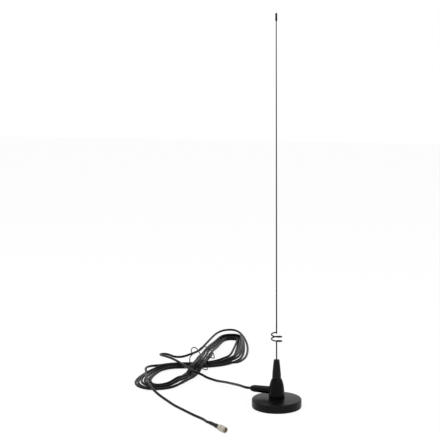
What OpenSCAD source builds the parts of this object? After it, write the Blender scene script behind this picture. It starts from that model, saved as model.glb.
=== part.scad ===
/* [Magnetic base] */
// Diameter of the round base
base_d = 52; // [46:0.5:70]
// Height of the base at its flat centre
base_h = 9.4; // [8.6:0.1:14]
// Fall of the domed top from the centre land to the rim
crown_h = 0.7; // [0.2:0.1:1.2]
// Radius of the rounded top edge
edge_r = 1.3; // [0.6:0.1:2]
// Wall of the plastic cover
cover_wall = 1.2; // [0.8:0.1:1.6]
// Wall of the steel pot inside the cover
pot_wall = 1.4; // [0.8:0.1:2]
// Thickness of the soft pad underneath
pad_t = 0.7; // [0.4:0.1:1.2]
// Margin between the pad's edge and the cover's edge
pad_margin = 0.4; // [0.2:0.1:1.5]
// Gap between the ring magnet and the steel pot's wall
magnet_gap = 1.4; // [0.4:0.1:4]
// Hole through the ring magnet
magnet_hole_d = 14; // [11:0.5:18]

/* [Fixing screw] */
// Diameter of the screw that ties base and hub together
screw_d = 4; // [3:0.1:4.2]
// Head diameter
screw_head_d = 7.4; // [6.5:0.1:8]
// Head height
screw_head_h = 2.2; // [1.6:0.1:2.6]
// Length of the cross slot's arms, tip to tip
slot_l = 4; // [3:0.1:5]
// Width of the cross slot
slot_w = 0.9; // [0.6:0.1:1.2]
// Depth of the cross slot
slot_depth = 1.1; // [0.6:0.1:1.3]
// Outer diameter of the lock washer under the head
washer_d = 7; // [6:0.1:7.6]
// Thickness of the lock washer
washer_t = 0.9; // [0.6:0.1:1.2]

/* [Hub] */
// Diameter of the bell where it meets the base
bell_d = 16.7; // [15:0.1:20]
// Diameter of the bell at its top
bell_top_d = 9.9; // [9.4:0.1:12]
// Height of the bell's top above the table
bell_top_z = 29.9; // [28:0.1:34]
// Diameter of the wiring space inside the bell
chamber_d = 10.4; // [9.6:0.1:11]
// Height of the wiring space's roof above the table
chamber_top_z = 20.6; // [20:0.1:22]
// Height of the cable outlet's axis above the table
boss_z = 17; // [16:0.1:18]
// Outlet boss diameter at the bell
boss_root_d = 8.1; // [7.6:0.1:8.6]
// Outlet boss diameter at its outer end
boss_end_d = 7.3; // [7:0.1:7.6]
// Reach of the outlet boss from the hub's axis
boss_reach = 25; // [20:0.5:26]

/* [Contact] */
// Height of the threaded ground bush in the bell's foot
bush_h = 4; // [3:0.1:4.6]
// Diameter of the ground bush
bush_d = 9; // [7:0.1:9.2]
// Diameter of the stud that the whip screws on
stud_d = 5; // [4:0.1:5.2]
// Height of the stud above the bell's top
stud_h = 8; // [6:0.5:8.5]
// Diameter of the stud's moulded-in flange
flange_d = 7; // [6.2:0.1:7.6]
// Thickness of the stud's moulded-in flange
flange_h = 3; // [2:0.1:4]
// Diameter of the solder pin under the stud
solder_pin_d = 2.2; // [1.6:0.1:3]

/* [Whip ferrule] */
// Diameter of the ferrule's foot
ferrule_foot_d = 9.3; // [9:0.1:9.6]
// Diameter of the ferrule's top
ferrule_top_d = 5.9; // [5:0.1:6.6]
// Height of the ferrule
ferrule_h = 20.2; // [19:0.1:24]
// Height of the straight foot below the taper
ferrule_foot_h = 2.6; // [1.5:0.1:4]
// Seam between the bell and the ferrule
seam_gap = 0.2; // [0.1:0.05:0.4]
// Radial clearance of the threaded bore round the stud
thread_clearance = 0.05; // [0.02:0.01:0.09]
// Outer diameter of the seal ring under the ferrule
seal_d = 7.9; // [7.4:0.1:8.2]
// Radial width of the seal ring
seal_w = 0.9; // [0.6:0.05:1]
// Height of the seal ring
seal_h = 1.1; // [0.6:0.1:1.6]
// Diameter of the grub screw that clamps the whip
grub_d = 2.5; // [2:0.1:3]
// Length of the grub screw
grub_l = 1.9; // [1.4:0.1:2]
// Distance of the grub screw's axis below the ferrule's top
grub_drop = 4.5; // [3.5:0.1:6]

/* [Whip] */
// Height of the whip's tip above the table
whip_top_z = 404.6; // [300:1:600]
// Wire diameter below and in the coil
wire_d = 1.4; // [1:0.05:1.8]
// Wire diameter at the tip
tip_d = 1; // [0.8:0.05:1.3]
// Depth of the wire in the ferrule
wire_seat = 9.5; // [6:0.1:9.9]
// Mean diameter of the coil
coil_d = 10.7; // [8:0.1:16]
// Number of turns in the coil
coil_turns = 2; // [1:1:4]
// Rise of the coil in one turn
coil_pitch = 4.45; // [3:0.05:7]
// Height of the coil's foot above the table
coil_z = 69; // [62:0.5:90]
// Bend radius where the wire turns into the coil
wire_bend_r = 1.6; // [1.2:0.1:2.2]
// Length of the cap on the tip
cap_l = 8; // [5:0.1:12]
// Diameter of the cap on the tip
cap_d = 2; // [1.7:0.05:3]
// Wall of the cap over the wire's end
cap_roof = 0.8; // [0.5:0.1:1.5]

/* [Cable] */
// Diameter of the coaxial cable
cable_d = 2.8; // [2.5:0.05:3]
// Diameter of the cable's insulated core
core_d = 1.2; // [1:0.1:1.5]
// Diameter of the twisted braid tail
braid_d = 1.1; // [0.8:0.1:1.4]
// Distance from the hub's axis at which the jacket ends
jacket_end = 5.1; // [4.6:0.1:5.2]
// Length of the strain relief outside the boss
relief_l = 3.8; // [3:0.1:6]
// Length of the strain relief inside the boss
relief_plug_l = 7; // [4:0.5:10]
// Diameter of the strain relief inside the boss
relief_plug_d = 5.4; // [4.6:0.1:5.8]
// Diameter of the strain relief at its small end
relief_tip_d = 4; // [3.4:0.1:5]

/* [Hank] */
// Height of the hank's two lobes
lobe_h = 5.4; // [5:0.1:8]
// Height of the crossing at the hank's waist
waist_h = 11.4; // [10:0.1:14]
// Radius of the near lobe's round end
near_r = 36; // [30:1:45]
// Radius of the far lobe's round end
far_r = 39; // [30:1:45]
// Radius of the waist
waist_r = 11; // [9:0.5:14]
// Width of the tie strip
tie_w = 3.4; // [2:0.1:5]
// Thickness of the tie strip
tie_t = 0.6; // [0.4:0.1:1]
// Room between the waist and each side of the tie, past the flaring lobes
tie_room = 2; // [1.8:0.1:3]

/* [Connector] */
// Diameter of the coupling nut
nut_d = 6.3; // [6:0.1:8]
// Length of the coupling nut
nut_l = 8.2; // [7.5:0.1:10]
// Diameter of the nut's threaded mouth
nut_bore_d = 4.3; // [4.1:0.05:4.6]
// Depth of the nut's threaded mouth
nut_bore_l = 4.6; // [4:0.1:5]
// Radial clearance between the nut and what it turns on
nut_clearance = 0.08; // [0.04:0.01:0.1]
// Wall at the nut's rear lip
nut_lip = 1.4; // [1:0.1:1.8]
// Diameter of the body's neck inside the nut
neck_d = 4.4; // [4:0.1:4.6]
// Diameter of the body's collar behind the nut
collar_d = 5.8; // [5:0.1:6.2]
// Length of the body's collar
collar_l = 2.1; // [1.5:0.1:3]
// Diameter of the sleeve contact
sleeve_d = 3.6; // [3.2:0.05:3.7]
// Setback of the sleeve contact from the nut's mouth
sleeve_setback = 1.4; // [1:0.1:2]
// Diameter of the white insulator
insulator_d = 2.6; // [2.2:0.1:2.8]
// Diameter of the centre contact
pin_d = 0.9; // [0.7:0.05:1]
// Diameter of the retaining ring in the neck's groove
ring_d = 5; // [4.8:0.05:5.1]
// Width of the retaining ring along the axis
ring_w = 0.6; // [0.4:0.05:0.8]
// Outer diameter of the crimp ferrule
crimp_d = 3.7; // [3.5:0.05:3.9]
// Wall of the crimp ferrule
crimp_wall = 0.35; // [0.25:0.05:0.4]
// Length of the crimp ferrule
crimp_l = 7; // [5:0.1:9]
// Outer diameter of the shrink sleeve over the crimp
boot_d = 4.4; // [4.2:0.1:5]
// Length of the shrink sleeve
boot_l = 17.6; // [12:0.1:22]
// Wall of the shrink sleeve over the cable
boot_wall = 0.35; // [0.25:0.05:0.6]

/* [Hidden] */
$fn = 96;

// Small play between pieces that are pushed or moulded together
seat_gap = 0.02;
base_r = base_d / 2;
cover_r = base_r - cover_wall;
pot_r = cover_r - seat_gap;
magnet_r = pot_r - pot_wall - magnet_gap;
top_t = cover_wall + crown_h;
pot_top_z = base_h - top_t - seat_gap;
pot_floor_z = pot_top_z - pot_wall;
bell_r = bell_d / 2;
bell_top_r = bell_top_d / 2;
rim_z = base_h - crown_h;
// The screw's head bears on the washer, and the washer on the pot's roof
washer_z = pot_floor_z - washer_t;
head_z = washer_z - screw_head_h;
bush_top_z = base_h + bush_h;
// The stud's flange is moulded into the hub between the chamber and the bell's top
flange_z = chamber_top_z + 2.4;
solder_pin_z = chamber_top_z - 1.6;
stud_top_z = bell_top_z + stud_h;
ferrule_z = bell_top_z + seam_gap;
seal_z = bell_top_z + 0.05;
ferrule_top_z = ferrule_z + ferrule_h;
wire_foot_z = ferrule_top_z - wire_seat;
grub_z = ferrule_top_z - grub_drop;
wire_r = wire_d / 2;
coil_h = coil_turns * coil_pitch;
coil_top_z = coil_z + coil_h;
cable_r = cable_d / 2;
relief_end = boss_reach + relief_l;
// Turned towards the rear, where the legs of the coil and the grub screw point
leg_angle = 111;
grub_angle = leg_angle;

// Points along an arc from angle a0 to a1
function arc(x, y, r, a0, a1, n) =
    [for (i = [0:n]) let (a = a0 + (a1 - a0) * i / n) [x + r * cos(a), y + r * sin(a)]];
function unit(v) = v / norm(v);
function mix(a, b, s) = a + (b - a) * s;
// Unit tangent at point i of a path
function tangent(p, i) = unit(p[min(i + 1, len(p) - 1)] - p[max(i - 1, 0)]);
// Any direction square to v
function square_to(v) = unit(cross(v, abs(v.z) > 0.9 ? [0, 1, 0] : [0, 0, 1]));
// A frame carried along the path with no twist: one side vector for each point
function sides_along(p) =
    [for (i = 0, s = square_to(tangent(p, 0)); i < len(p);
        i = i + 1,
        s = i < len(p) ? unit(s - (s * tangent(p, i)) * tangent(p, i)) : s) s];
// A smooth curve through the route's points, n steps to each stretch
function curve_point(a, b, c, d, s) =
    (2 * b + (c - a) * s + (2 * a - 5 * b + 4 * c - d) * s * s
        + (3 * b - a - 3 * c + d) * s * s * s) / 2;
function smooth_route(p, n) =
    [for (i = [0:len(p) - 2], j = [0:n - 1])
        curve_point(p[max(i - 1, 0)], p[i], p[i + 1], p[min(i + 2, len(p) - 1)], j / n),
        p[len(p) - 1]];

// A round bar of n sides swept along a path
module sweep(p, r, n) {
    side = sides_along(p);
    rings = [for (i = [0:len(p) - 1])
        let (t = tangent(p, i), u = side[i], v = cross(t, u))
        for (k = [0:n - 1]) p[i] + r * (cos(360 * k / n) * u + sin(360 * k / n) * v)];
    last = (len(p) - 1) * n;
    faces = concat(
        [[for (k = [0:n - 1]) n - 1 - k]],
        [for (i = [0:len(p) - 2], k = [0:n - 1])
            [i * n + k, i * n + (k + 1) % n, (i + 1) * n + (k + 1) % n, (i + 1) * n + k]],
        [[for (k = [0:n - 1]) last + k]]);
    polyhedron(rings, [for (f = faces) [for (k = [len(f) - 1:-1:0]) f[k]]], convexity = 6);
}

// The base: a steel pot magnet under a moulded cover, on a soft pad

module base_pad() {
    color("dimgray") cylinder(h = pad_t, r = base_r - pad_margin);
}

module base_cover() {
    outer = concat(
        [[base_r, pad_t]],
        arc(base_r - edge_r, rim_z - edge_r, edge_r, 0, 80, 8),
        [for (i = [1:8]) let (s = i / 8) [mix(base_r - edge_r, bell_r, s), rim_z + crown_h * sin(90 * s)]]);
    hole_r = screw_d / 2 + 0.3;
    color("black") rotate_extrude() polygon(concat(
        outer,
        [[hole_r, base_h], [hole_r, base_h - top_t], [cover_r, base_h - top_t], [cover_r, pad_t]]));
}

module steel_pot() {
    color("silver") difference() {
        translate([0, 0, pad_t]) cylinder(h = pot_top_z - pad_t, r = pot_r);
        translate([0, 0, pad_t - 1]) cylinder(h = pot_floor_z - pad_t + 1, r = pot_r - pot_wall);
        cylinder(h = base_h, r = screw_d / 2 + 0.1);
    }
}

module ring_magnet() {
    color("dimgray") translate([0, 0, pad_t]) difference() {
        cylinder(h = pot_floor_z - pad_t, r = magnet_r);
        translate([0, 0, -1]) cylinder(h = base_h, r = magnet_hole_d / 2);
    }
}

module lock_washer() {
    color("silver") translate([0, 0, washer_z]) difference() {
        cylinder(h = washer_t, r = washer_d / 2);
        translate([0, 0, -1]) cylinder(h = washer_t + 2, r = screw_d / 2 + 0.1);
    }
}

module fixing_screw() {
    color("silver") difference() {
        union() {
            translate([0, 0, head_z]) cylinder(h = screw_head_h, r = screw_head_d / 2);
            translate([0, 0, head_z]) cylinder(h = bush_top_z - head_z, r = screw_d / 2);
        }
        for (a = [0, 90])
            rotate([0, 0, a]) translate([-slot_l / 2, -slot_w / 2, head_z - 1])
                cube([slot_l, slot_w, slot_depth + 1]);
    }
}

// The hub: a bell with the cable outlet moulded on its side

module bell_profile() {
    rise = bell_top_z - base_h;
    grow = bell_r - bell_top_r;
    // Nearly upright at the foot, drawn in towards the top like a bell: a rounded curve takes most
    // of the narrowing, and a straight taper takes the small rest
    taper_share = 0.14;
    polygon(concat(
        [[0, base_h], [bell_r, base_h]],
        [for (i = [1:16]) let (s = i / 16)
            [bell_top_r + grow * mix(pow(1 - pow(s, 3.2), 0.8), 1 - s, taper_share), base_h + rise * s]],
        [[0, bell_top_z]]));
}

// Turns +Z to point along the outlet, with its origin on the hub's axis
module along_outlet() {
    translate([0, 0, boss_z]) rotate([0, -90, 0]) children();
}

module hub_body() {
    color("black") difference() {
        union() {
            rotate_extrude() bell_profile();
            along_outlet() cylinder(h = boss_reach, r1 = boss_root_d / 2, r2 = boss_end_d / 2);
        }
        // Seat of the ground bush, and the wiring space above it
        translate([0, 0, base_h - 1]) cylinder(h = bush_h + 1, r = bush_d / 2 + seat_gap);
        translate([0, 0, bush_top_z]) cylinder(h = chamber_top_z - bush_top_z, r = chamber_d / 2);
        // Way of the stud, and the pocket of its flange
        translate([0, 0, chamber_top_z - 1]) cylinder(h = bell_top_z, r = stud_d / 2 + seat_gap);
        translate([0, 0, flange_z]) cylinder(h = flange_h, r = flange_d / 2 + seat_gap);
        // Way of the cable, and the seat of its strain relief
        along_outlet() cylinder(h = boss_reach + 1, r = cable_r + seat_gap);
        along_outlet() translate([0, 0, boss_reach - relief_plug_l])
            cylinder(h = relief_plug_l + 1, r = relief_plug_d / 2 + seat_gap);
    }
}

module ground_bush() {
    color("goldenrod") translate([0, 0, base_h]) difference() {
        cylinder(h = bush_h, r = bush_d / 2);
        translate([0, 0, -1]) cylinder(h = bush_h + 2, r = screw_d / 2 + seat_gap);
    }
}

module contact_stud() {
    color("goldenrod") rotate_extrude() polygon([
        [0, solder_pin_z], [solder_pin_d / 2, solder_pin_z], [solder_pin_d / 2, chamber_top_z],
        [stud_d / 2, chamber_top_z], [stud_d / 2, flange_z], [flange_d / 2, flange_z],
        [flange_d / 2, flange_z + flange_h], [stud_d / 2, flange_z + flange_h],
        [stud_d / 2, stud_top_z - 0.5], [stud_d / 2 - 0.5, stud_top_z], [0, stud_top_z]]);
}

module strain_relief() {
    mouth_r = cable_r + seat_gap;
    color("black") along_outlet() rotate_extrude() polygon([
        [mouth_r, boss_reach - relief_plug_l], [relief_plug_d / 2, boss_reach - relief_plug_l],
        [relief_plug_d / 2, boss_reach], [boss_end_d / 2 - 0.2, boss_reach],
        [boss_end_d / 2 - 0.5, boss_reach + 0.8], [relief_tip_d / 2 + 0.1, relief_end - 0.4],
        [relief_tip_d / 2 - 0.2, relief_end], [mouth_r, relief_end]]);
}

module cable_end() {
    color("black") along_outlet() translate([0, 0, jacket_end])
        cylinder(h = relief_end - jacket_end, r = cable_r);
}

// The stripped end: the braid is twisted down to the bush, the core goes up to the solder pin
module braid_tail() {
    // From the jacket's end just under the core, then down on the bush 0.4 inside its edge
    x = -(bush_d / 2 - braid_d / 2 - 0.4);
    top_z = boss_z - core_d / 2 - seat_gap;
    color("chocolate") {
        translate([x, 0, bush_top_z]) cylinder(h = top_z - bush_top_z, r = braid_d / 2);
        translate([-jacket_end, 0, top_z - braid_d / 2]) rotate([0, 90, 0])
            cylinder(h = jacket_end + x, r = braid_d / 2);
    }
}

module core_wire() {
    bend = 1.9;
    x_turn = -(solder_pin_d / 2 - core_d / 2) - bend;
    color("ivory") {
        translate([-jacket_end, 0, boss_z]) rotate([0, 90, 0])
            cylinder(h = jacket_end + x_turn, r = core_d / 2);
        translate([x_turn, 0, boss_z + bend]) rotate([90, 0, 0]) rotate([0, 0, -90])
            rotate_extrude(angle = 90) translate([bend, 0]) circle(r = core_d / 2, $fn = 32);
        translate([x_turn + bend, 0, boss_z + bend])
            cylinder(h = solder_pin_z - boss_z - bend, r = core_d / 2);
    }
}

// The whip: one wire with its matching coil, clamped in a ferrule that screws on the stud

module seal_ring() {
    color("dimgray") translate([0, 0, seal_z]) difference() {
        cylinder(h = seal_h, r = seal_d / 2);
        translate([0, 0, -1]) cylinder(h = seal_h + 2, r = seal_d / 2 - seal_w);
    }
}

module whip_ferrule() {
    foot_r = ferrule_foot_d / 2;
    top_r = ferrule_top_d / 2;
    taper_h = ferrule_h - ferrule_foot_h;
    bore_top_z = stud_top_z + 0.4;
    color("black") difference() {
        translate([0, 0, ferrule_z]) rotate_extrude() polygon(concat(
            [[0, 0], [foot_r - 0.15, 0], [foot_r, 0.15]],
            // The taper is a little fuller in the middle
            [for (i = [0:12]) let (s = i / 12)
                [mix(foot_r, top_r + 0.05, s) + 0.12 * sin(180 * s), ferrule_foot_h + (taper_h - 0.3) * s]],
            [[top_r - 0.3, ferrule_h], [0, ferrule_h]]));
        // Threaded bore on the stud
        translate([0, 0, ferrule_z - 1])
            cylinder(h = bore_top_z - ferrule_z + 1, r = stud_d / 2 + thread_clearance);
        // Groove of the seal ring
        translate([0, 0, ferrule_z - 1]) difference() {
            cylinder(h = seal_z + seal_h - ferrule_z + 1, r = seal_d / 2 + 0.05);
            cylinder(h = seal_h + 2, r = seal_d / 2 - seal_w - 0.05);
        }
        // Seat of the wire, and the cross hole of the grub screw
        translate([0, 0, wire_foot_z]) cylinder(h = wire_seat + 1, r = wire_r + seat_gap);
        translate([0, 0, grub_z]) rotate([0, 0, grub_angle]) rotate([0, 90, 0])
            cylinder(h = foot_r, r = grub_d / 2 + seat_gap);
    }
}

module grub_screw() {
    color("dimgray") translate([0, 0, grub_z]) rotate([0, 0, grub_angle])
        translate([wire_r + seat_gap, 0, 0]) rotate([0, 90, 0]) difference() {
            cylinder(h = grub_l, r = grub_d / 2);
            translate([0, 0, grub_l - 0.9]) cylinder(h = 1, r = 0.7, $fn = 6);
        }
}

// The wire's centre line through the coil: up the axis, out along a leg, round the turns and back
function coil_path() =
    let (
        r = coil_d / 2,
        b = wire_bend_r,
        low = [for (i = [0:4]) let (a = 90 * i / 4) [b * (1 - cos(a)), 0, -b + b * sin(a)]],
        out = [for (i = [1:4]) let (a = 90 * i / 4) [r - b + b * sin(a), b * (1 - cos(a)), 0]],
        start = atan2(out[3].y, out[3].x),
        steps = 24 * coil_turns,
        turns = [for (i = [1:steps - 1])
            let (a = mix(start, 360 * coil_turns - start, i / steps))
            [r * cos(a), r * sin(a), coil_pitch * coil_turns * i / steps]],
        back = [for (i = [3:-1:0]) [out[i].x, -out[i].y, coil_h]],
        high = [for (i = [4:-1:0]) [low[i].x, 0, coil_h - low[i].z]])
    concat(low, out, turns, back, high);

module whip_wire() {
    sides = 10;
    facet_r = wire_r / cos(180 / sides) + 0.01;
    // The coil winds down to the left as seen from outside, so the path is mirrored
    color("black") {
        translate([0, 0, wire_foot_z])
            cylinder(h = coil_z - wire_bend_r - wire_foot_z + 0.05, r = wire_r);
        translate([0, 0, coil_z]) rotate([0, 0, leg_angle]) mirror([0, 1, 0])
            sweep(coil_path(), facet_r, sides);
        translate([0, 0, coil_top_z + wire_bend_r - 0.05])
            cylinder(h = whip_top_z - cap_roof - coil_top_z - wire_bend_r, r1 = wire_r, r2 = tip_d / 2);
    }
}

module tip_cap() {
    r = cap_d / 2;
    foot_z = whip_top_z - cap_l;
    bore_r = tip_d / 2 + seat_gap + 0.01;
    color("black") rotate_extrude() polygon(concat(
        [[bore_r, foot_z], [r - 0.1, foot_z], [r, foot_z + 0.3]],
        arc(0, whip_top_z - r, r, 0, 90, 8),
        [[0, whip_top_z - cap_roof + seat_gap], [bore_r, whip_top_z - cap_roof + seat_gap]]));
}

// The free cable, laid on the table

// Route from the strain relief to the hank, over the near lobe and round in a tight turn
hub_route = [[-relief_end, 0, boss_z], [-34, 0.4, 17], [-39, 5, 16.2], [-47, 14, 14.4], [-57, 26, 11.4],
    [-69, 40, 7.8], [-80, 52, 4.6], [-90, 61, 2.2], [-99, 67, 1.6], [-106, 69, 2.6], [-112, 69, 5.2],
    [-120, 71, 7], [-137, 86, 7], [-156, 105, 7], [-170, 117, 6.9], [-183, 127, 6.1], [-193, 137, 4.6],
    [-197, 144, 3.4], [-195, 149, 2.4], [-188, 148, 1.7], [-178, 142, 1.6], [-168, 147, 1.5], [-163, 178, 1.5]];
// Route from the top of the hank down over the near lobe to the connector
plug_route = [[-175, 66, 4.8], [-174, 55, 6.9], [-169, 43, 6.9], [-161, 28, 6.9], [-152, 13, 6.9], [-145, 3, 6.9],
    [-138, -5, 5.4], [-131, -12, 2.2], [-122, -19, 1.6], [-112, -27, 1.5], [-100, -37, 1.5], [-84, -49, 1.5],
    [-69, -60, 1.5], [-56, -69, 1.7]];
near_centre = [-152, 32.5];
far_centre = [-146, 250.5];
waist = [-142, 132];

// Place of the connector: its open mouth, and the way it points along the table
plug_mouth = [-20.4, -98];
plug_angle = -36;
collar_z = -nut_l - seat_gap;
stem_z = collar_z - collar_l;
// The body's stem reaches this far into the crimp ferrule
stem_end_z = stem_z - 1.4;
// Front of the retaining ring's groove
groove_z = -nut_bore_l - 0.9;
boot_end_z = stem_z - boot_l;
crimp_end_z = stem_z - crimp_l;

// The last stretch runs straight through the sleeve to the crimp
function on_plug_axis(z) =
    [plug_mouth.x + z * cos(plug_angle), plug_mouth.y + z * sin(plug_angle), nut_d / 2];
sleeve_points = [on_plug_axis(boot_end_z - 5) - [0, 0, 0.5], on_plug_axis(boot_end_z),
    on_plug_axis(boot_end_z + 5), on_plug_axis(crimp_end_z)];

module hub_lead() {
    color("black") sweep(smooth_route(hub_route, 2), cable_r, 8);
}

module plug_lead() {
    color("black") sweep(smooth_route(concat(plug_route, sleeve_points), 2), cable_r, 8);
}

module hank_outline() {
    hull() {
        translate(near_centre) circle(r = near_r, $fn = 32);
        translate(waist) circle(r = waist_r, $fn = 32);
    }
    hull() {
        translate(far_centre) circle(r = far_r, $fn = 32);
        translate(waist) circle(r = waist_r, $fn = 32);
    }
}

module cable_hank() {
    // Play of the tie in its notch, at each side and on top
    side_play = 0.3;
    top_play = 0.05;
    color("dimgray") difference() {
        union() {
            linear_extrude(lobe_h) hank_outline();
            translate([waist.x, waist.y, 0]) cylinder(h = waist_h, r = waist_r);
        }
        // The tie passes under the waist
        translate([waist.x - 2 * waist_r, waist.y - tie_w / 2 - side_play, -1])
            cube([4 * waist_r, tie_w + 2 * side_play, 1 + tie_t + top_play]);
    }
}

module hank_tie() {
    gap = 0.05;
    inner_r = waist_r + tie_room;
    color("black") translate([waist.x, waist.y + tie_w / 2, 0]) rotate([90, 0, 0]) difference() {
        linear_extrude(tie_w) translate([-inner_r - tie_t, 0])
            square([2 * (inner_r + tie_t), waist_h + gap + tie_t]);
        translate([0, 0, -1]) linear_extrude(tie_w + 2) translate([-inner_r, tie_t])
            square([2 * inner_r, waist_h + gap - tie_t]);
    }
}

// The connector, drawn along its own axis with the open mouth at zero and its cable below

module at_plug() {
    translate([plug_mouth.x, plug_mouth.y, nut_d / 2]) rotate([0, 0, plug_angle]) rotate([0, 90, 0]) children();
}

module shrink_sleeve() {
    cable_out_r = cable_r + boot_wall;
    crimp_out_r = crimp_d / 2 + seat_gap;
    color("black") at_plug() rotate_extrude() polygon([
        [crimp_out_r, stem_z], [boot_d / 2 - 0.15, stem_z], [boot_d / 2, stem_z - 0.3],
        [boot_d / 2, crimp_end_z - 0.4], [mix(boot_d / 2, cable_out_r, 0.6), crimp_end_z - 2.4],
        [cable_out_r + 0.15, crimp_end_z - 5], [cable_out_r, boot_end_z + 0.2], [cable_out_r - 0.15, boot_end_z],
        [cable_r + seat_gap, boot_end_z], [cable_r + seat_gap, crimp_end_z], [crimp_out_r, crimp_end_z]]);
}

module crimp_ferrule() {
    color("silver") at_plug() translate([0, 0, crimp_end_z]) difference() {
        cylinder(h = crimp_l, r = crimp_d / 2);
        translate([0, 0, -1]) cylinder(h = crimp_l + 2, r = crimp_d / 2 - crimp_wall);
    }
}

module plug_body() {
    neck_r = neck_d / 2;
    color("silver") at_plug() rotate_extrude() polygon([
        [insulator_d / 2, -sleeve_setback], [sleeve_d / 2 - 0.2, -sleeve_setback],
        [sleeve_d / 2, -sleeve_setback - 0.2], [sleeve_d / 2, -nut_bore_l - 0.3], [neck_r, -nut_bore_l - 0.3],
        [neck_r, groove_z], [neck_r - 0.35, groove_z], [neck_r - 0.35, groove_z - ring_w], [neck_r, groove_z - ring_w],
        [neck_r, collar_z], [collar_d / 2 - 0.15, collar_z], [collar_d / 2, collar_z - 0.15],
        [collar_d / 2, stem_z + 0.15], [collar_d / 2 - 0.15, stem_z],
        [crimp_d / 2 - crimp_wall - seat_gap, stem_z], [crimp_d / 2 - crimp_wall - seat_gap, stem_end_z],
        [insulator_d / 2, stem_end_z]]);
}

module plug_insulator() {
    // Its face lies 1.2 inside the sleeve contact
    color("white") at_plug() translate([0, 0, stem_end_z]) difference() {
        cylinder(h = -sleeve_setback - 1.2 - stem_end_z, r = insulator_d / 2 - seat_gap);
        translate([0, 0, -1]) cylinder(h = 2 * nut_l, r = pin_d / 2 + seat_gap);
    }
}

module centre_pin() {
    // Its tip stops 0.3 short of the sleeve contact's face
    color("gold") at_plug() translate([0, 0, stem_end_z])
        cylinder(h = -sleeve_setback - 0.3 - stem_end_z, r = pin_d / 2);
}

module retaining_ring() {
    color("goldenrod") at_plug() translate([0, 0, groove_z - ring_w + seat_gap]) difference() {
        cylinder(h = ring_w - 2 * seat_gap, r = ring_d / 2);
        translate([0, 0, -1]) cylinder(h = ring_w + 2, r = neck_d / 2 - 0.35 + seat_gap);
    }
}

module coupling_nut() {
    r = nut_d / 2;
    pocket_r = ring_d / 2 + nut_clearance;
    lip_r = neck_d / 2 + nut_clearance;
    rear_z = -nut_l;
    color("silver") at_plug() rotate_extrude() polygon([
        [nut_bore_d / 2 + 0.25, 0], [r - 0.25, 0], [r, -0.25], [r, rear_z + 0.25], [r - 0.25, rear_z],
        [lip_r, rear_z], [lip_r, rear_z + nut_lip], [pocket_r, rear_z + nut_lip],
        [pocket_r, -nut_bore_l], [nut_bore_d / 2, -nut_bore_l], [nut_bore_d / 2, -0.25]]);
}

base_pad();
base_cover();
steel_pot();
ring_magnet();
fixing_screw();
lock_washer();
hub_body();
ground_bush();
contact_stud();
strain_relief();
cable_end();
braid_tail();
core_wire();
seal_ring();
whip_ferrule();
grub_screw();
whip_wire();
tip_cap();
hub_lead();
cable_hank();
hank_tie();
plug_lead();
shrink_sleeve();
crimp_ferrule();
plug_body();
plug_insulator();
centre_pin();
retaining_ring();
coupling_nut();
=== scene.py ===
from bisect import bisect
from math import atan2, cos, exp, pi, radians, sin, tau

import bmesh
import bpy
from mathutils import Matrix, Vector


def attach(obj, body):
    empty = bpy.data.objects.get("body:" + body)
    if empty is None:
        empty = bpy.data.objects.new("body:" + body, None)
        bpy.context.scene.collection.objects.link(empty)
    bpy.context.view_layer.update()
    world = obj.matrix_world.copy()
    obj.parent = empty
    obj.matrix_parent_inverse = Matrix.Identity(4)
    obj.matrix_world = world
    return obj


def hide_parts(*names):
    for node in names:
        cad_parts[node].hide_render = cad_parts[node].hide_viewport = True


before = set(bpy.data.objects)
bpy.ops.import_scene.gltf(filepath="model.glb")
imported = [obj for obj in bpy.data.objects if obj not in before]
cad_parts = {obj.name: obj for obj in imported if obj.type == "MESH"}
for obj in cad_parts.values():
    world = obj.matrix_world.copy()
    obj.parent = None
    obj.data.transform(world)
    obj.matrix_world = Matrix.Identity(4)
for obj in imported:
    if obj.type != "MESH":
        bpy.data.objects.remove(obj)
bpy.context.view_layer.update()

# The camera stands a little above the table, about a metre in front of the antenna, and looks down
# slightly with a long lens. Its place was fitted to the round base and the upright whip.
eye = bpy.data.objects.new("camera", bpy.data.cameras.new("camera"))
bpy.context.scene.collection.objects.link(eye)
eye.data.lens, eye.data.sensor_width = 90, 36
eye.data.clip_start, eye.data.clip_end = 0.05, 20
turn_in, look_down, roll = radians(21), radians(7.858), radians(-0.467)
eye.matrix_world = (
    Matrix.Rotation(turn_in, 4, "Z") @ Matrix.Translation((-0.0576029, -1.1117686, 0.3505051))
    @ Matrix.Rotation(radians(90) - look_down, 4, "X") @ Matrix.Rotation(roll, 4, "Z"))
bpy.context.scene.camera = eye
bpy.context.scene.view_settings.view_transform = "Standard"

# A plain white sweep under soft studio light: one broad lamp overhead and to the left, a weaker one
# on the right, and an even white surround that the camera and the shiny parts see.


def by_ray(nodes, links, lighting, looking):
    """One value where rays light the pieces, and another where they come from the camera or a shiny surface"""
    ray = nodes.new("ShaderNodeLightPath")
    either = nodes.new("ShaderNodeMath"); either.operation = "MAXIMUM"
    any_seen = nodes.new("ShaderNodeMath"); any_seen.operation = "MAXIMUM"
    links.new(ray.outputs["Is Camera Ray"], either.inputs[0])
    links.new(ray.outputs["Is Glossy Ray"], either.inputs[1])
    links.new(either.outputs[0], any_seen.inputs[0])
    links.new(ray.outputs["Is Transmission Ray"], any_seen.inputs[1])
    value = nodes.new("ShaderNodeMapRange")
    value.inputs["To Min"].default_value, value.inputs["To Max"].default_value = lighting, looking
    links.new(any_seen.outputs[0], value.inputs["Value"])
    return value.outputs[0]


world = bpy.data.worlds.new("studio")
bpy.context.scene.world = world
world.use_nodes = True
nodes, links = world.node_tree.nodes, world.node_tree.links
nodes["Background"].inputs["Color"].default_value = (1, 1, 1, 1)
links.new(by_ray(nodes, links, 0.55, 1.0), nodes["Background"].inputs["Strength"])

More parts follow.
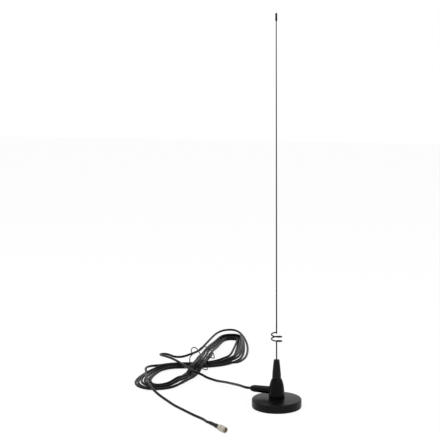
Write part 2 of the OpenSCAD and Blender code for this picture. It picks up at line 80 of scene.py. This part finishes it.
for name, place, size, power in (
        ("left_lamp", (-0.7, -0.5, 1.3), 0.9, 7),
        ("right_lamp", (1.0, -0.5, 0.9), 0.6, 3.2)):
    lamp = bpy.data.objects.new(name, bpy.data.lights.new(name, "AREA"))
    lamp.data.size, lamp.data.energy = size, power
    lamp.matrix_world = Matrix.Translation(place) @ (
        Vector((-0.05, 0, 0.1)) - Vector(place)).to_track_quat("-Z", "Y").to_matrix().to_4x4()
    bpy.context.scene.collection.objects.link(lamp)

b = bmesh.new()
bmesh.ops.create_grid(b, x_segments=1, y_segments=1, size=4)
floor_mesh = bpy.data.meshes.new("floor"); b.to_mesh(floor_mesh); b.free()
floor = bpy.data.objects.new("floor", floor_mesh)
bpy.context.scene.collection.objects.link(floor)
paper = bpy.data.materials.new("white_paper"); paper.use_nodes = True
nodes, links = paper.node_tree.nodes, paper.node_tree.links
nodes["Principled BSDF"].inputs["Base Color"].default_value = (0.92, 0.92, 0.92, 1)
nodes["Principled BSDF"].inputs["Roughness"].default_value = 0.9
nodes["Principled BSDF"].inputs["Specular IOR Level"].default_value = 0.1
glow = nodes.new("ShaderNodeEmission")
glow.inputs["Color"].default_value = (1, 1, 1, 1)
glow.inputs["Strength"].default_value = 1.05
mixed = nodes.new("ShaderNodeMixShader")
links.new(by_ray(nodes, links, 0, 0.86), mixed.inputs[0])
links.new(nodes["Principled BSDF"].outputs[0], mixed.inputs[1])
links.new(glow.outputs[0], mixed.inputs[2])
links.new(mixed.outputs[0], nodes["Material Output"].inputs["Surface"])
floor_mesh.materials.append(paper)

# The thin coaxial cable: a satin black jacket 2.8 mm across, in one length from the hub to the plug.
# It drops from the outlet, crosses the hank, turns back beside it, is wound into a figure of eight
# and leaves over its near end. All lengths are in millimetres until MM brings them to metres.
MM = 0.001
cable_d = 2.8
cable_r = cable_d / 2
hub_route = [(-28.8, 0, 17), (-34, 0.4, 17), (-39, 5, 16.2), (-47, 14, 14.4), (-57, 26, 11.4), (-69, 40, 7.8),
    (-80, 52, 4.6), (-90, 61, 2.2), (-99, 67, 1.6), (-106, 69, 2.6), (-112, 69, 5.2), (-120, 71, 7),
    (-137, 86, 7), (-156, 105, 7), (-170, 117, 6.9), (-182, 126, 6.2), (-190.5, 133.5, 4.9),
    (-195.5, 141, 3.6), (-195.9, 146.8, 2.6), (-191.8, 150.2, 2), (-185.5, 148.2, 1.7), (-178.5, 144, 1.6),
    (-171, 145, 1.5), (-165.5, 154, 1.7)]
plug_route = [(-175, 55, 6.9), (-169, 41, 6.9), (-161, 27, 6.9), (-153, 13.5, 6.9), (-145.5, 3, 6.6),
    (-138, -6, 5.8), (-130, -13.5, 4.6), (-122, -19.6, 3.3), (-112, -27, 2.1), (-100, -37, 1.5),
    (-84, -49, 1.5), (-69, -60, 1.5), (-56, -69, 1.7)]
plug_mouth, plug_angle, nut_d = (-20.4, -98), -36, 6.3


def on_plug_axis(z):
    a = radians(plug_angle)
    return (plug_mouth[0] + z * cos(a), plug_mouth[1] + z * sin(a), nut_d / 2)


def step_between(x, low, high):
    """0 below low, 1 above high, and a smooth rise between them"""
    s = min(max((x - low) / (high - low), 0), 1)
    return s * s * (3 - 2 * s)


def smooth_line(points, steps):
    """A smooth curve through the points"""
    p = [Vector(q) for q in points]
    line = []
    for i in range(len(p) - 1):
        a, c, d, e = p[max(i - 1, 0)], p[i], p[i + 1], p[min(i + 2, len(p) - 1)]
        for j in range(steps):
            s = j / steps
            line.append((2 * c + (d - a) * s + (2 * a - 5 * c + 4 * d - e) * s ** 2
                + (3 * c - a - 3 * d + e) * s ** 3) / 2)
    return line + [p[-1]]


# The middle of the bundle, once round the figure of eight, seen from above
hank_middle = [(-135.5, 129), (-138.8, 146), (-143.3, 168), (-147.2, 190), (-150.6, 214), (-152.5, 237),
    (-148.9, 248), (-139.7, 252.4), (-130.4, 248.5), (-125.5, 238.5), (-118.5, 219.5), (-111, 197),
    (-105, 175), (-103, 157), (-106, 142), (-113, 130.5), (-122.5, 122), (-132.5, 115.8), (-142.5, 110.8),
    (-153, 106.5), (-163, 101.3), (-170.5, 92), (-174.7, 78), (-175, 60), (-172.5, 43), (-167, 28.5),
    (-158.5, 19.5), (-148.5, 17), (-139, 22.5), (-132.8, 36), (-130, 53), (-129.7, 70), (-130.2, 86),
    (-131.2, 101), (-133, 115)]
round_once = smooth_line(hank_middle[-1:] + hank_middle + hank_middle[:2], 12)[12:-12]
way = [0.0]
for p, q in zip(round_once, round_once[1:]):
    way.append(way[-1] + (q - p).length)
one_turn = way[-1]


def middle_at(d):
    """The place and the direction of the bundle's middle, d round from where its strands cross"""
    d %= one_turn
    k = max(bisect(way, d) - 1, 0)
    k = min(k, len(round_once) - 2)
    here = round_once[k].lerp(round_once[k + 1], (d - way[k]) / (way[k + 1] - way[k]))
    before, after = round_once[k - 1 if k else -2], round_once[(k + 2) % (len(round_once) - 1)]
    return here, (after - before).normalized()


def nearest_way(x, y):
    return way[min(range(len(round_once)), key=lambda k: (round_once[k] - Vector((x, y))).length)]


under, over = nearest_way(-130, 117.3), nearest_way(-133, 115)
near_end, far_end, far_right = nearest_way(-160, 23), nearest_way(-139.7, 252.4), nearest_way(-106, 180)


def past(d, middle):
    """How far d lies past middle, the shorter way round"""
    return (d - middle + one_turn / 2) % one_turn - one_turn / 2


def bell(d, middle, width):
    """1 at middle, falling away on both sides"""
    return exp(-(past(d, middle) / width) ** 2)


def hill(d, middle, flat, before, after):
    """1 within flat of middle, falling to 0 at before on the near side and at after on the far side"""
    gap = past(d, middle)
    return 1 - step_between(abs(gap), flat, before if gap < 0 else after)


def wound_strand(d):
    """The cable's centre line in the hank; each turn moves one place over at the near end"""
    here, ahead = middle_at(d)
    right = Vector((ahead.y, -ahead.x))
    turn = int((d - near_end) / one_turn + 0.5)
    place = turn + step_between(d - near_end - turn * one_turn, -55, 55)
    inner = max(place - 3, 0)
    # The bundle is pressed flat at its near end, under the tie and where the leads lie on it
    pressed = max(hill(d, near_end - 15, 42, 85, 65), hill(d, over - 12, 34, 62, 52),
        hill(d, under + 12, 29, 55, 53))
    pitch = 2.1 + 0.5 * pressed + 1.1 * bell(d, near_end + 18, 50) - 0.6 * bell(d, far_end, 42)
    across = (place - 3) * pitch + 0.25 * sin(d / 61 + 2.1 * place)
    across += bell(d, far_right, 42) * max(place - 3.5, 0) ** 1.2
    across += (bell(d, under - 30, 26) + 0.5 * bell(d, over + 30, 26)) * inner
    raised = abs((place + 1) % 4 - 2)
    layer = 2.7 + 0.5 * bell(d, over + 65, 40) - 1.4 * pressed
    crossing = 5.5 * hill(d, over, 16, 34, 100)
    x, y = here + right * across
    return Vector((x, y, cable_r + raised * layer + crossing))


wound_from, wound_to = under - 30, nearest_way(-170, 94) + 6 * one_turn
count = 960
wound = [wound_strand(wound_from + (wound_to - wound_from) * i / count) for i in range(count + 1)]
# The first time round the far lobe the cable springs out on its own, well outside the rest
first_lobe = [(-159, 178, 2.7), (-161.5, 204, 3.6), (-165.5, 234, 3.9), (-168.5, 260, 3.9), (-167, 277, 4),
    (-161, 286, 4), (-152, 286.5, 4), (-141, 276, 3.9), (-127, 254, 3.4), (-114, 228, 2.8),
    (-103, 200, 2.1), (-95.5, 172, 1.6), (-94.3, 152, 1.7), (-97, 141.5, 2.2)]
last_lobe = [(-182.5, 86, 4.4), (-183, 75, 5.8), (-180, 64.5, 6.8)]
stem_z = -8.2 - 0.02 - 2.1
boot_end, crimp_end = stem_z - 17.6, stem_z - 7
into_plug = [Vector(on_plug_axis(boot_end - 5)) - Vector((0, 0, 0.5)), Vector(on_plug_axis(boot_end)),
    Vector(on_plug_axis(boot_end + 5)), Vector(on_plug_axis(crimp_end))]
centre_line = (smooth_line(hub_route + first_lobe + [wound[0], wound[3]], 5)[:-6] + wound[:-3]
    + smooth_line([wound[-3], wound[-1]] + last_lobe + plug_route + into_plug, 5))
centre_line = [Vector((x, y, max(z, cable_r))) * MM for x, y, z in centre_line]


def wire(name, line, radius, radii=None, sides=4):
    """A round wire or cable along a line in metres"""
    curve = bpy.data.curves.new(name, "CURVE")
    curve.dimensions, curve.use_fill_caps = "3D", True
    curve.bevel_depth, curve.bevel_resolution = radius, sides
    spline = curve.splines.new("POLY")
    spline.points.add(len(line) - 1)
    for k, p in enumerate(line):
        spline.points[k].co = (*p, 1)
        spline.points[k].radius = radii[k] if radii else 1
    piece = bpy.data.objects.new(name, curve)
    bpy.context.scene.collection.objects.link(piece)
    return piece


def fine_finish(name, dark, light, rough, grain, bump_mm, metallic=0.0, specular=0.5, uneven=0.08, squash=None):
    """A finish whose colour, gloss and surface vary a little, with a grain in millimetres"""
    finish = bpy.data.materials.new(name); finish.use_nodes = True
    nodes, links = finish.node_tree.nodes, finish.node_tree.links
    surface = nodes["Principled BSDF"]
    surface.inputs["Metallic"].default_value = metallic
    surface.inputs["Specular IOR Level"].default_value = specular
    where = nodes.new("ShaderNodeTexCoord")
    fitted = nodes.new("ShaderNodeMapping")
    if squash:
        fitted.inputs["Rotation"].default_value = squash[0]
        fitted.inputs["Scale"].default_value = squash[1]
    links.new(where.outputs["Object"], fitted.inputs["Vector"])
    cloudy = nodes.new("ShaderNodeTexNoise")
    cloudy.inputs["Scale"].default_value = 1 / (14 * grain * MM)
    cloudy.inputs["Detail"].default_value = 3
    grainy = nodes.new("ShaderNodeTexNoise")
    grainy.inputs["Scale"].default_value = 1 / (grain * MM)
    grainy.inputs["Detail"].default_value = 4
    for texture in (cloudy, grainy):
        links.new(fitted.outputs[0], texture.inputs["Vector"])
    tones = nodes.new("ShaderNodeValToRGB")
    tones.color_ramp.elements[0].position, tones.color_ramp.elements[1].position = 0.32, 0.68
    tones.color_ramp.elements[0].color, tones.color_ramp.elements[1].color = (*dark, 1), (*light, 1)
    links.new(cloudy.outputs["Fac"], tones.inputs[0])
    links.new(tones.outputs[0], surface.inputs["Base Color"])
    gloss = nodes.new("ShaderNodeMapRange")
    gloss.inputs["From Min"].default_value, gloss.inputs["From Max"].default_value = 0.3, 0.7
    gloss.inputs["To Min"].default_value = rough - uneven
    gloss.inputs["To Max"].default_value = rough + uneven
    links.new(grainy.outputs["Fac"], gloss.inputs["Value"])
    links.new(gloss.outputs[0], surface.inputs["Roughness"])
    raised = nodes.new("ShaderNodeBump")
    raised.inputs["Strength"].default_value = 0.5
    raised.inputs["Distance"].default_value = bump_mm * MM
    links.new(grainy.outputs["Fac"], raised.inputs["Height"])
    links.new(raised.outputs[0], surface.inputs["Normal"])
    return finish


def black(name, dark, light, rough, grain, bump_mm, specular, **more):
    """A near-black finish; dark and light are its two greys"""
    return fine_finish(name, (dark,) * 3, (light,) * 3, rough, grain, bump_mm, specular=specular, **more)


jacket = black("cable_jacket", 0.002, 0.004, 0.34, 0.25, 0.012, 0.1)
cable = wire("coax_cable", centre_line, cable_r * MM)
cable.data.materials.append(jacket)
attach(cable, "mount")
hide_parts("hub_lead", "cable_hank", "plug_lead")

# The twist tie round the waist of the hank: a plastic-coated wire bent once round the bundle, one end
# a small loop on the left, the other an arc on the right whose tip crosses back over the top.
tie_line = [(-151.2, 135.9, 9.5), (-155.6, 143.4, 11), (-157.6, 152.3, 12), (-155, 154.4, 12.4),
    (-150.2, 148.9, 12.2), (-140.9, 134.1, 11.8), (-131.8, 119.4, 11.6), (-124.5, 106.8, 11.2),
    (-119, 98.2, 9.6), (-116.8, 97.2, 6), (-117.6, 99.5, 2.5), (-123.4, 105, 0.8), (-135, 113.5, 0.65),
    (-146.1, 121.5, 0.8), (-149.8, 124.8, 3), (-150, 127, 8), (-147.6, 133.5, 11.3), (-147.4, 147.7, 11.9),
    (-149, 162.3, 11.6), (-144.4, 165.5, 11.2), (-137.6, 159.5, 10.6), (-130.6, 150.9, 9.4),
    (-126.2, 143.8, 7.4), (-123.4, 137.5, 6.4), (-123.5, 130.7, 8), (-126.5, 125, 11), (-127, 116.5, 12.2),
    (-125.6, 107, 12.6), (-125, 101.7, 12)]
tie_r = 0.6
tie = wire("twist_tie", [p * MM for p in smooth_line(tie_line, 5)], tie_r * MM)
tie.data.materials.append(black("tie_plastic", 0.004, 0.012, 0.42, 0.3, 0.01, 0.2))
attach(tie, "mount")
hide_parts("hank_tie")

# The small screw-on coaxial plug at the cable's free end. Its nickel-plated body is crimped on the
# braid, a loose nut turns on its neck behind a ring, and a shrunk sleeve stiffens the cable.


def turned(name, half_section, place=None, steps=96, soften=0.0, closed=True):
    """A piece turned on a lathe from points (radius, height), its sharp edges broken by soften"""
    b = bmesh.new()
    ring = [b.verts.new((r * MM, 0, z * MM)) for r, z in half_section]
    pairs = list(zip(ring, ring[1:])) + ([(ring[-1], ring[0])] if closed else [])
    edges = [b.edges.new(pair) for pair in pairs]
    bmesh.ops.spin(b, geom=ring + edges, cent=(0, 0, 0), axis=(0, 0, 1), angle=tau, steps=steps,
        use_merge=True)
    bmesh.ops.remove_doubles(b, verts=b.verts, dist=1e-7)
    bmesh.ops.recalc_face_normals(b, faces=b.faces)
    if soften:
        sharp = [e for e in b.edges if len(e.link_faces) == 2 and e.calc_face_angle() > 0.6]
        bmesh.ops.bevel(b, geom=sharp, offset=soften * MM, offset_type="OFFSET", segments=2, profile=0.5,
            affect="EDGES", material=-1)
    return finished(name, b, place)


def finished(name, b, place=None):
    """Puts a made shape in its place as a piece, smooth but for its sharp edges"""
    if place:
        bmesh.ops.transform(b, matrix=place, verts=b.verts)
    for face in b.faces:
        face.smooth = True
    for edge in b.edges:
        edge.smooth = len(edge.link_faces) == 2 and edge.calc_face_angle() < 0.6
    mesh = bpy.data.meshes.new(name)
    b.to_mesh(mesh); b.free()
    piece = bpy.data.objects.new(name, mesh)
    bpy.context.scene.collection.objects.link(piece)
    return piece


def dress(piece, body, slot, finish, *stood_for):
    piece.data.materials.append(finish)
    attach(piece, body)
    if stood_for:
        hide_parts(*stood_for)


def finish_solid(finish, *names):
    """Gives solids that are taken over as they are a finish"""
    for name in names:
        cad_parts[name].data.materials.clear()
        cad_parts[name].data.materials.append(finish)


def thread(name, radius, depth, pitch, start, turns, place=None):
    """A screw thread's ridge round a shaft, or inside a bore where depth is negative"""
    b = bmesh.new()
    steps = 40
    ridge = [b.verts.new((x * MM, 0, (start + z * pitch) * MM))
        for x, z in ((radius, 0.04), (radius + depth, 0.4), (radius + depth, 0.52), (radius, 0.88))]
    face = b.faces.new(ridge)
    bmesh.ops.spin(b, geom=[face], cent=(0, 0, 0), axis=(0, 0, 1), angle=tau * turns,
        steps=int(steps * turns), dvec=(0, 0, pitch / steps * MM), use_duplicate=False)
    bmesh.ops.recalc_face_normals(b, faces=b.faces)
    return finished(name, b, place)


on_the_table = (Matrix.Translation(Vector((*plug_mouth, nut_d / 2)) * MM)
    @ Matrix.Rotation(radians(plug_angle), 4, "Z") @ Matrix.Rotation(radians(90), 4, "Y"))
nickel = fine_finish("nickel_plate", (0.36, 0.33, 0.28), (0.5, 0.46, 0.4), 0.3, 0.2, 0.006, metallic=1.0,
    squash=((0, radians(90), 0), (1, 1, 6)))
gold = fine_finish("gold_plate", (0.75, 0.5, 0.18), (0.9, 0.66, 0.28), 0.24, 0.2, 0.004, metallic=1.0)
white = fine_finish("white_insulator", (0.76, 0.75, 0.72), (0.86, 0.85, 0.82), 0.45, 0.3, 0.008, specular=0.4)
shrunk = black("shrunk_sleeve", 0.002, 0.006, 0.4, 0.5, 0.03, 0.14)

nut = turned("coupling_nut_shell", [(2.4, 0), (2.9, 0), (3.15, -0.25), (3.15, -1.5), (2.98, -1.6), (2.98, -1.9),
    (3.15, -2), (3.15, -6.2), (2.98, -6.3), (2.98, -6.6), (3.15, -6.7), (3.15, -7.95), (2.9, -8.2),
    (2.28, -8.2), (2.28, -6.8), (2.58, -6.8), (2.58, -4.6), (2.15, -4.6), (2.15, -0.25)], on_the_table,
    soften=0.05)
dress(nut, "nut", "nickel", nickel, "coupling_nut")
nut_thread = thread("nut_thread", 2.16, -0.16, 0.75, -4.55, 5.4, on_the_table)
dress(nut_thread, "nut", "nickel", nickel)

body = turned("plug_shell", [(1.3, -1.4), (1.6, -1.4), (1.8, -1.6), (1.8, -4.9), (2.2, -4.9), (2.2, -5.5),
    (1.85, -5.5), (1.85, -6.1), (2.2, -6.1), (2.2, -8.22), (2.75, -8.22), (2.9, -8.37), (2.9, -9),
    (2.75, -9.1), (2.75, -9.5), (2.9, -9.6), (2.9, -10.17), (2.75, -10.32), (1.48, -10.32), (1.48, -11.72),
    (1.3, -11.72)], on_the_table, soften=0.04)
dress(body, "mount", "nickel", nickel, "plug_body")
core_face = turned("plug_core", [(0.47, -11.72), (1.28, -11.72), (1.28, -2.7), (1.18, -2.6), (0.47, -2.6)],
    on_the_table)
dress(core_face, "mount", "insulator", white, "plug_insulator")
pin = turned("plug_pin", [(0, -11.72), (0.45, -11.72), (0.45, -2.1), (0.38, -1.85), (0.2, -1.72), (0, -1.7)],
    on_the_table, closed=False)
dress(pin, "mount", "gold", gold, "centre_pin")
sleeve = turned("cable_sleeve", [(1.87, -10.32), (2.08, -10.32), (2.2, -10.5), (2.21, -11.6), (2.17, -14),
    (2.2, -16.8), (2.12, -17.6), (1.92, -18.6), (1.83, -20), (1.8, -22), (1.77, -25), (1.75, -27.2),
    (1.7, -27.8), (1.6, -27.92), (1.42, -27.92), (1.42, -17.32), (1.87, -17.32)], on_the_table)
dress(sleeve, "mount", "sleeve", shrunk, "shrink_sleeve")
finish_solid(nickel, "crimp_ferrule")
finish_solid(gold, "retaining_ring")

# The magnetic base: a moulded black cover over a zinc-plated steel pot with a ring magnet, closed by a
# thin soft pad. The mark on the real cover's top is left bare.
cover_black = black("cover_black", 0.002, 0.004, 0.34, 0.35, 0.01, 0.12, uneven=0.05)
pad_rubber = black("pad_rubber", 0.006, 0.014, 0.8, 0.5, 0.03, 0.1)
zinc = fine_finish("zinc_plate", (0.42, 0.42, 0.43), (0.6, 0.6, 0.61), 0.32, 0.5, 0.008, metallic=1.0)
ferrite = fine_finish("ferrite", (0.05, 0.05, 0.052), (0.09, 0.09, 0.094), 0.7, 0.3, 0.02, specular=0.3)

round_over, shoulder_r, shoulder_z, cover_top = 1.3, 24.7, 7.4, 9.4
edge = [(shoulder_r + round_over * cos(radians(a)), shoulder_z + round_over * sin(radians(a)))
    for a in range(0, 90, 8)]
dome = [(shoulder_r - 16.35 * s / 12, 8.7 + 0.7 * sin(pi / 2 * s / 12)) for s in range(1, 13)]
cover = turned("base_shell", [(25.75, 0.7), (26, 0.95)] + edge + dome
    + [(2.3, cover_top), (2.3, 7.5), (24.8, 7.5), (24.8, 0.7)], steps=160)
dress(cover, "mount", "cover", cover_black, "base_cover")
finish_solid(pad_rubber, "base_pad")
finish_solid(zinc, "steel_pot", "fixing_screw", "lock_washer")
finish_solid(ferrite, "ring_magnet")

# The hub: a glossy black bell moulded round the whip's brass stud, with the cable's outlet on its side.
# A soft tapered relief holds the cable; inside, its braid goes to the brass bush and its core to the stud.
hub_black = black("hub_black", 0.0015, 0.003, 0.17, 0.5, 0.006, 0.08, uneven=0.04)
relief_black = black("relief_rubber", 0.003, 0.007, 0.5, 0.3, 0.015, 0.12)
brass = fine_finish("turned_brass", (0.5, 0.34, 0.12), (0.68, 0.48, 0.2), 0.28, 0.25, 0.006, metallic=1.0,
    squash=((0, 0, 0), (1, 1, 8)))
tinned = fine_finish("tinned_braid", (0.4, 0.4, 0.4), (0.62, 0.6, 0.58), 0.4, 0.15, 0.04, metallic=1.0)
outlet_z = 17


def bell_radius(s):
    """The bell's radius, s from 0 at its foot to 1 at its top"""
    return 4.95 + 3.4 * (0.86 * (1 - s ** 3.2) ** 0.8 + 0.14 * (1 - s))


def outlet_radius(x):
    """The outlet's radius x away from the whip: a slight taper with a fillet where it leaves the bell"""
    return 4.05 - 0.4 * x / 25 + 1.9 * exp(-(x - 6.2) / 1.1)


outside = [(bell_radius(k / 40), 9.4 + 20.5 * k / 40) for k in range(1, 39)]
hub = turned("hub_bell", [(4.52, 9.4), (8.2, 9.4), (8.35, 9.55)] + outside + [(5.2, 29.78), (5.0, 29.88),
    (4.8, 29.9), (2.52, 29.9), (2.52, 26.02), (3.52, 26.02), (3.52, 23), (2.52, 23), (2.52, 20.6),
    (5.2, 20.6), (5.2, 13.4), (4.52, 13.4)], steps=128)
dress(hub, "mount", "hub", hub_black, "hub_body")
out_of_hub = Matrix.Translation((0, 0, outlet_z * MM)) @ Matrix.Rotation(radians(-90), 4, "Y")
boss = turned("cable_outlet", [(1.42, 6.2)] + [(outlet_radius(x), x) for x in
    (6.2, 6.6, 7, 7.4, 7.8, 8.2, 8.6, 9, 9.5, 10, 11, 12, 14, 17, 20, 24)] + [(3.66, 24.5), (3.6, 24.82),
    (3.45, 25), (2.72, 25), (2.72, 18), (1.42, 18)], out_of_hub, steps=96)
dress(boss, "mount", "hub", hub_black)
relief = turned("outlet_relief", [(1.42, 18), (2.7, 18), (2.7, 25), (3.4, 25.02), (3.35, 25.8), (3.15, 26.8),
    (2.7, 27.9), (2.2, 28.5), (1.7, 28.8), (1.42, 28.8)], out_of_hub, steps=72)
dress(relief, "mount", "relief", relief_black, "strain_relief")

stud_thread = thread("stud_thread", 2.12, 0.38, 0.8, 30.4, 8.6)
dress(stud_thread, "mount", "brass", brass)
stud = turned("whip_stud", [(0, 19), (1.1, 19), (1.1, 20.6), (2.5, 20.6), (2.5, 23), (3.5, 23), (3.5, 26),
    (2.5, 26), (2.5, 29.95), (2.13, 30.2), (2.13, 37.5), (1.8, 37.9), (0, 37.9)], closed=False, soften=0.03)
dress(stud, "mount", "brass", brass, "contact_stud")
finish_solid(brass, "ground_bush")
finish_solid(jacket, "cable_end")
finish_solid(tinned, "braid_tail")
finish_solid(white, "core_wire")

# The whip: a black-coated steel wire bent into a two-turn matching coil, clamped by a grub screw in a
# tapered ferrule that screws on the stud over a seal ring, with a soft round cap on its tip.
ferrule_black = black("ferrule_black", 0.002, 0.006, 0.3, 0.25, 0.008, 0.14, uneven=0.06,
    squash=((0, 0, 0), (1, 1, 5)))
whip_black = black("whip_coating", 0.003, 0.007, 0.34, 0.4, 0.01, 0.15)
cap_black = black("cap_rubber", 0.002, 0.005, 0.5, 0.3, 0.01, 0.12)
grub_steel = fine_finish("blackened_steel", (0.05, 0.05, 0.05), (0.1, 0.1, 0.1), 0.35, 0.2, 0.006, metallic=1.0)

foot_z, wire_seat = 30.1, 40.8
taper = [(4.65 - 1.65 * k / 24 + 0.12 * sin(pi * k / 24), foot_z + 2.6 + 17.3 * k / 24) for k in range(25)]
ferrule = turned("whip_foot", [(2.55, foot_z), (2.95, foot_z), (2.95, 31.05), (4, 31.05), (4, foot_z),
    (4.4, foot_z), (4.6, 30.2), (4.65, 30.4)] + taper + [(2.9, 50.15), (2.65, 50.3), (0.72, 50.3),
    (0.72, wire_seat), (0, wire_seat), (0, 38.3), (2.55, 38.3)], steps=112)
dress(ferrule, "whip", "ferrule", ferrule_black, "whip_ferrule")

# The wire leaves the axis by one bend, comes up to the coil by another, and returns in the same way
coil_r, bend_r, rise_per_turn, turns = 5.35, 1.6, 4.45, 2
coil_z, leg_angle, wire_r, tip_z = 69, radians(111), 0.7, 403.8
height = rise_per_turn * turns
low = [(bend_r * (1 - cos(pi / 2 * k / 8)), 0, -bend_r + bend_r * sin(pi / 2 * k / 8)) for k in range(9)]
out = [(coil_r - bend_r + bend_r * sin(pi / 2 * k / 8), bend_r * (1 - cos(pi / 2 * k / 8)), 0)
    for k in range(1, 9)]
begin = atan2(out[6][1], out[6][0])
around = []
for k in range(1, 120):
    a = begin + (tau * turns - 2 * begin) * k / 120
    around.append((coil_r * cos(a), coil_r * sin(a), height * k / 120))
back = [(x, -y, height) for x, y, z in reversed(out)][1:]
high = [(x, 0, height - z) for x, y, z in reversed(low)]
bent = [(x * cos(leg_angle) + y * sin(leg_angle), x * sin(leg_angle) - y * cos(leg_angle), coil_z + z)
    for x, y, z in low + out[:7] + around + back + high]
above = 79.5
line = [(0, 0, wire_seat), (0, 0, 50), (0, 0, 60)] + bent + [(0, 0, above + (tip_z - above) * k / 12)
    for k in range(1, 13)]
thickness = [1] * (3 + len(bent)) + [1 - 0.2857 * k / 12 for k in range(1, 13)]
whip = wire("whip_rod", [Vector(p) * MM for p in line], wire_r * MM, thickness, sides=6)
dress(whip, "whip", "whip", whip_black, "whip_wire")
cap = turned("whip_cap", [(0.53, 396.6), (0.9, 396.6), (1, 396.9), (1, 403.6)]
    + [(cos(radians(a)), 403.6 + sin(radians(a))) for a in range(10, 90, 10)]
    + [(0, 404.6), (0, 403.82), (0.53, 403.82)], steps=32)
dress(cap, "whip", "cap", cap_black, "tip_cap")
finish_solid(grub_steel, "grub_screw")
finish_solid(pad_rubber, "seal_ring")
